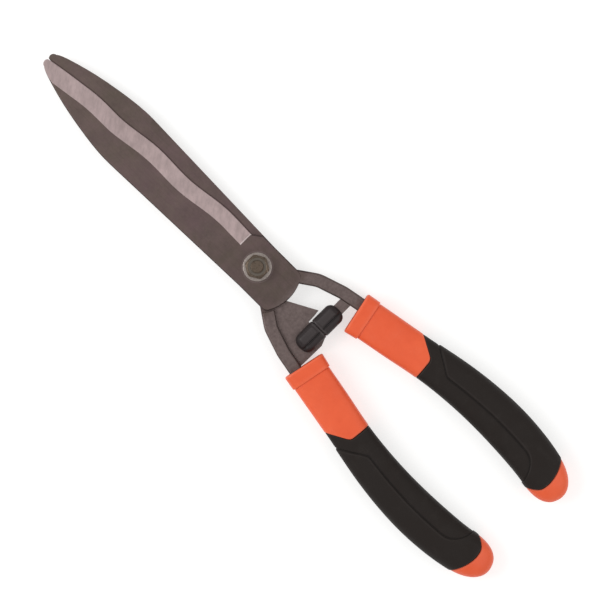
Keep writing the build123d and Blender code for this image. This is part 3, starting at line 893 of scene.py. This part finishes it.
# %% [markdown]
# ## Turned and hexagon pieces of the pivot
#
# A washer is a profile turned about the bolt's axis. The nut and the bolt's head are the same
# thing with a radius that changes round the ring: the distance to a flat is constant, so the
# radius of a hexagon at angle f is `flat / cos(f)`, with f counted from the middle of each flat.
# Real hexagons are chamfered by a cone, and where the cone cuts the flats it leaves the curved
# scallops that catch the light. The height of the chamfer therefore follows from the radius.

# %% Profiles about the bolt's axis
TURN = round_angles(144)
nut_low, nut_high = box_mm("pivot_nut")
HEX_FLAT = (nut_high[1] - nut_low[1]) / 2
HEX_EDGE = 0.12               # a hexagon's edges are broken by this much
CORNER_CUT = 0.9              # and its corners end this far outside its flats
CHAMFER_START = 0.94 * HEX_FLAT
CHAMFER_TILT = 30.0
CREASE = 38.0                 # edges sharper than this many degrees stay sharp
from_flat = (TURN + math.pi / 6) % (math.pi / 3) - math.pi / 6
hex_radius = np.minimum(HEX_FLAT / np.cos(from_flat), HEX_FLAT + CORNER_CUT)
chamfer_drop = (hex_radius - CHAMFER_START) * math.tan(math.radians(CHAMFER_TILT))


def turned_rings(profile):
    """Rings about the z axis. Each row of the profile is a radius and a height, single or one an angle."""
    radius = np.stack([r + 0 * TURN for r, _ in profile])
    height = np.stack([z + 0 * TURN for _, z in profile])
    return np.stack([radius * np.cos(TURN), radius * np.sin(TURN), height], axis=-1)


def soften(corners, size, steps=4):
    """Profile with each corner cut back by size and rounded, along a parabola through both cuts."""
    corners = np.array(corners, float)
    t = np.linspace(0, 1, steps)[:, None]
    rounded = []
    for i, corner in enumerate(corners):
        before, after = corners[i - 1] - corner, corners[(i + 1) % len(corners)] - corner
        first = corner + before / np.linalg.norm(before) * min(size, np.linalg.norm(before) / 2)
        last = corner + after / np.linalg.norm(after) * min(size, np.linalg.norm(after) / 2)
        rounded.append((1 - t) ** 2 * first + 2 * t * (1 - t) * corner + t ** 2 * last)
    return np.concatenate(rounded)


# %% Washers and the coned spring
WASHER_BORE = 5.3


def flat_ring(name, node_name, cone=0.0):
    """Ring with rounded edges that fills its frame node. cone lifts its bore above its rim."""
    low, high = box_mm(node_name)
    outer = (high[0] - low[0]) / 2
    corners = [(WASHER_BORE, low[2] + cone), (outer, low[2]), (outer, high[2] - cone), (WASHER_BORE, high[2])]
    ring = make_piece(name, turned_rings(soften(corners, 0.3)), BRIGHT_ZINC, joined=True)
    fit(ring, "rear_half", "bright_fastener", node_name)


flat_ring("turned_head_washer", "head_washer")
flat_ring("turned_nut_washer", "nut_washer")
flat_ring("coned_spring", "disc_spring", cone=0.6)


# %% Lock nut
NUT_BORE, CROWN_RADIUS, ROLL_RADIUS = 5.02, 7.9, 0.55


def lock_nut():
    """Chamfered hexagon with a round crown that is rolled over its nylon ring."""
    insert_low, insert_high = box_mm("nut_insert")
    ring_radius = (insert_high[0] - insert_low[0]) / 2
    seat, hexagon_top, top = nut_low[2], insert_low[2], nut_high[2]
    profile = [
        (NUT_BORE, seat + 0.5), (NUT_BORE + 0.5, seat),
        (CHAMFER_START - HEX_EDGE, seat), (CHAMFER_START + HEX_EDGE, seat + 0.05),
        (hex_radius - 0.05, seat + chamfer_drop), (hex_radius, seat + chamfer_drop + HEX_EDGE),
        (hex_radius, seat + chamfer_drop + 1.0), (hex_radius, hexagon_top - chamfer_drop - 1.0),
        (hex_radius, hexagon_top - chamfer_drop - HEX_EDGE),
        (hex_radius - 0.05, hexagon_top - chamfer_drop),
        (CHAMFER_START, hexagon_top - 0.02), (CROWN_RADIUS + 0.25, hexagon_top),
        (CROWN_RADIUS + 0.05, hexagon_top + 0.12), (CROWN_RADIUS, hexagon_top + 0.5),
    ]
    roll_r, roll_z = CROWN_RADIUS - ROLL_RADIUS, top - ROLL_RADIUS
    profile += [(roll_r + ROLL_RADIUS * math.cos(a), roll_z + ROLL_RADIUS * math.sin(a))
                for a in np.linspace(0, math.pi * 0.9, 9)]
    profile += [(ring_radius - 0.15, top - 0.5), (ring_radius, hexagon_top), (NUT_BORE, hexagon_top)]
    nut = make_piece("hexagon_lock_nut", turned_rings(profile), DARK_ZINC, joined=True, crease=CREASE)
    fit(nut, "rear_half", "dark_fastener", "pivot_nut")


lock_nut()


# %% [markdown]
# ## The pivot bolt and its thread
#
# The thread matters only where it can be seen, above the nut, but there it is what tells the eye
# that this is a bolt. Its surface is a cylinder whose radius is a triangle wave of the height
# minus the pitch times the turn, so the crest climbs one pitch a turn. Below the nut the shank
# is plain. The real bolt's square neck can't be seen inside the rear blade, so it is left out.

# %% Pivot bolt
PITCH, THREAD_DEPTH, THREAD_RINGS = 1.5, 0.85, 110
SHANK_RADIUS = 4.98


def pivot_bolt():
    """Hexagon head, plain shank, thread and chamfered end, as rings from the head's face upwards."""
    top, head_top, thread_low = box_mm("pivot_bolt")[1][2], box_mm("head_washer")[0][2], nut_low[2] + 2
    head = [
        (0.0, 0.0), (3.0, 0.0), (CHAMFER_START - 0.4, 0.0), (CHAMFER_START + 0.1, 0.08),
        (hex_radius - 0.05, chamfer_drop), (hex_radius, chamfer_drop + HEX_EDGE),
        (hex_radius, chamfer_drop + 1.0), (hex_radius, head_top - 1.0),
        (hex_radius, head_top - HEX_EDGE), (hex_radius - HEX_EDGE, head_top),
        (SHANK_RADIUS + 0.4, head_top), (SHANK_RADIUS, head_top + 0.4), (SHANK_RADIUS, thread_low - 0.5),
    ]
    height = np.linspace(thread_low, top, THREAD_RINGS)[:, None]
    wave = (height / PITCH - TURN / (2 * math.pi)) % 1.0
    groove = THREAD_DEPTH * np.clip(1 - np.abs(wave - 0.5) * 2.6, 0, 1) ** 1.2
    radius = np.minimum(SHANK_RADIUS - groove, SHANK_RADIUS - 1.0 + np.clip(top - height, 0, 1.0))
    end = [(3.2, top), (2.0, top - 0.05), (0.0, top - 0.05)]
    profile = head + list(zip(radius, height[:, 0])) + end
    bolt = make_piece("hexagon_pivot_bolt", turned_rings(profile), DARK_ZINC, crease=CREASE)
    fit(bolt, "rear_half", "dark_fastener", "pivot_bolt")


pivot_bolt()

# %% [markdown]
# ## Floor, light and camera
#
# The shears lie on a plain pale floor under wide soft lights, so that the satin steel and the
# dull rubber show their grain without hard glints. The camera looks straight down, rolled so
# that the blades point to the upper left, from far enough away that the shape is hardly drawn
# in by perspective.

# %% Floor
FLOOR_REACH, FLOOR_DROP = 3000.0, 0.05
FLOOR_GREY, FLOOR_PALE = (0.46, 0.46, 0.46), (0.50, 0.50, 0.50)
GLOW_WARM, GLOW_WHITE, GLOW = (0.96, 0.96, 0.95), (1.0, 1.0, 0.99), 0.62


def studio_floor():
    """Large pale sheet just under the shears, with a faint paper grain."""
    material, tree, shader = new_material("pale_floor", Roughness=0.85, Emission_Strength=GLOW)
    clouds = effect(tree, CLOUDS, Scale=8.0, Contrast=0.6)
    tree.links.new(tint(tree, clouds, FLOOR_GREY, FLOOR_PALE), shader["Base Color"])
    tree.links.new(tint(tree, clouds, GLOW_WARM, GLOW_WHITE), shader["Emission Color"])
    corners = np.array([[-1, -1, 0], [1, -1, 0], [1, 1, 0], [-1, 1, 0]]) * FLOOR_REACH - [0, 0, FLOOR_DROP]
    mesh = bpy.data.meshes.new("floor")
    mesh.from_pydata((corners * MM).tolist(), [], [(0, 1, 2, 3)])
    mesh.materials.append(material)
    floor = bpy.data.objects.new("floor", mesh)
    bpy.context.scene.collection.objects.link(floor)


studio_floor()

# %% Lights
def softbox(name, place, aim, size, power):
    """Square area light at a place, turned to face the aim, all in metres."""
    light = bpy.data.lights.new(name, "AREA")
    light.energy, light.size = power, size
    lamp = bpy.data.objects.new(name, light)
    bpy.context.scene.collection.objects.link(lamp)
    lamp.location = place
    lamp.rotation_euler = (Vector(aim) - Vector(place)).to_track_quat("-Z", "Y").to_euler()


softbox("key_softbox", (1.0, 0.75, 1.3), (0, 0, 0), 1.1, 15.0)
softbox("fill_softbox", (-1.1, -0.6, 1.4), (0, 0, 0), 1.4, 7.0)
world = bpy.data.worlds.new("studio")
bpy.context.scene.world = world
world.use_nodes = True
daylight = world.node_tree.nodes["Background"].inputs
daylight["Color"].default_value = (1.0, 0.99, 0.985, 1.0)
daylight["Strength"].default_value = 0.62
bpy.context.scene.view_settings.view_transform = "Standard"

# %% Camera
CAMERA_ROLL = -135.1          # degrees: the blades point to the upper left
CAMERA_AIM = (-0.0406, -0.0051)
VIEW_SIDE = 0.4566            # metres of the shear plane that fill the view
LENS, SENSOR = 135.0, 36.0    # millimetres
lens = bpy.data.cameras.new("overhead_camera")
lens.lens, lens.sensor_width = LENS, SENSOR
camera = bpy.data.objects.new("overhead_camera", lens)
bpy.context.scene.collection.objects.link(camera)
camera.location = (*CAMERA_AIM, VIEW_SIDE * LENS / SENSOR + SHEAR_Z * MM)
camera.rotation_euler = (0, 0, math.radians(CAMERA_ROLL))
bpy.context.scene.camera = camera
